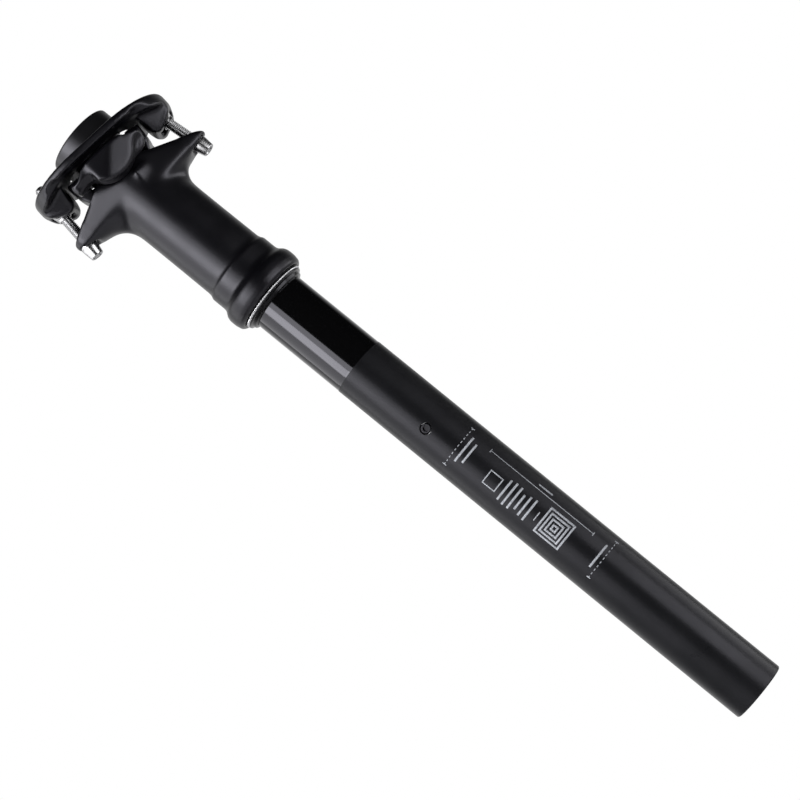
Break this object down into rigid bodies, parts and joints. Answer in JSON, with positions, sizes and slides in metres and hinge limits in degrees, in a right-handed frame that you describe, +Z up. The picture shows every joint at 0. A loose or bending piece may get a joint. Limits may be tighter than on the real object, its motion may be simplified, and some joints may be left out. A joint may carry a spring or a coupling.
{
  "type": "suspension seatpost",
  "caption": "Black telescopic bicycle seatpost with a sprung sliding head, wiper collar and twin-bolt saddle rail clamp.",
  "frame": {"origin": "centre of the tube's lower end, on the post's axis", "axes": "+Z up the post, +X to the front of the bicycle, +Y to its left"},
  "size_m": [0.0745, 0.054, 0.3743],
  "materials": {
    "tube": "matte black anodised, gloss on the sliding section",
    "casting": "satin black",
    "clamp": "matte black",
    "cap": "satin black anodised",
    "steel": "polished",
    "black_steel": "black oxide",
    "spring_steel": "drawn wire",
    "bare_alloy": "turned",
    "brass": "ground",
    "bushing": "filled bearing polymer",
    "rubber": "moulded",
    "elastomer": "cast elastomer"
  },
  "bodies": {
    "post": {"lower_tube": "tube", "upper_guide_bushing": "bushing", "guide_keys": "brass", "spring_base_plug": "bare_alloy", "plug_o_ring": "rubber", "side_screw": "black_steel", "elastomer_core": "elastomer", "coil_spring": "spring_steel"},
    "head": {"head": "casting", "lower_guide_bushing": "bushing", "top_out_bumper": "rubber", "bottom_out_bumper": "rubber", "wiper_seal": "rubber", "garter_spring": "spring_steel", "thrust_washer": "steel", "cap_o_ring": "rubber"},
    "spring_seat": {"spring_seat": "bushing"},
    "preload_cap": {"preload_screw": "bare_alloy", "top_cap": "cap", "cap_nut": "steel"},
    "clamp": {"lower_cradle": "clamp", "upper_clamp": "clamp"},
    "front_nut": {"front_barrel_nut": "steel"},
    "rear_nut": {"rear_barrel_nut": "steel"},
    "front_swivel": {"front_washer": "steel"},
    "rear_swivel": {"rear_washer": "steel"},
    "front_bolt": {"front_bolt": "steel"},
    "rear_bolt": {"rear_bolt": "steel"}
  },
  "joints": [
    {"name": "suspension_travel", "type": "slide", "parent": "post", "child": "head", "axis": [0, 0, -1], "range_m": [0, 0.04], "stiffness_N_per_m": 16000, "springref_m": -0.004, "deforming": ["coil_spring"]},
    {"name": "preload_turn", "type": "hinge", "parent": "head", "child": "preload_cap", "pos_m": [0, 0, 0.37], "axis": [0, 0, 1], "range_deg": [0, 720]},
    {"name": "spring_seat_slide", "type": "slide", "parent": "head", "child": "spring_seat", "axis": [0, 0, -1], "range_m": [0, 0.003], "deforming": ["coil_spring"]},
    {"name": "saddle_tilt", "type": "hinge", "parent": "head", "child": "clamp", "pos_m": [0, 0, 0.358], "axis": [0, 1, 0], "range_deg": [-6, 6]},
    {"name": "front_bolt_swing", "type": "hinge", "parent": "head", "child": "front_swivel", "pos_m": [0.03139, 0, 0.32861], "axis": [0, 1, 0], "range_deg": [-2.52, 2.52]},
    {"name": "front_bolt_turn", "type": "hinge", "parent": "front_swivel", "child": "front_bolt", "pos_m": [0.0311, 0, 0.332], "axis": [-0.0839, 0, 0.9965], "continuous": true},
    {"name": "front_nut_turn", "type": "hinge", "parent": "clamp", "child": "front_nut", "pos_m": [0.02943, 0, 0.35184], "axis": [0, 1, 0], "range_deg": [-8.52, 8.52]},
    {"name": "rear_bolt_swing", "type": "hinge", "parent": "head", "child": "rear_swivel", "pos_m": [-0.03374, 0, 0.33674], "axis": [0, 1, 0], "range_deg": [-0.93, 0.93]},
    {"name": "rear_bolt_turn", "type": "hinge", "parent": "rear_swivel", "child": "rear_bolt", "pos_m": [-0.0332, 0, 0.3401], "axis": [0.1579, 0, 0.9875], "continuous": true},
    {"name": "rear_nut_turn", "type": "hinge", "parent": "clamp", "child": "rear_nut", "pos_m": [-0.02999, 0, 0.36019], "axis": [0, 1, 0], "range_deg": [-6.93, 6.93]}
  ],
  "couplings": [
    {"joint": "spring_seat_slide", "follows": "preload_turn", "m_per_rad": 0.00023873},
    {"joint": "front_bolt_swing", "follows": "saddle_tilt", "ratio": -0.386},
    {"joint": "front_nut_turn", "follows": "saddle_tilt", "ratio": -1.386},
    {"joint": "rear_bolt_swing", "follows": "saddle_tilt", "ratio": -0.122},
    {"joint": "rear_nut_turn", "follows": "saddle_tilt", "ratio": -1.122}
  ]
}
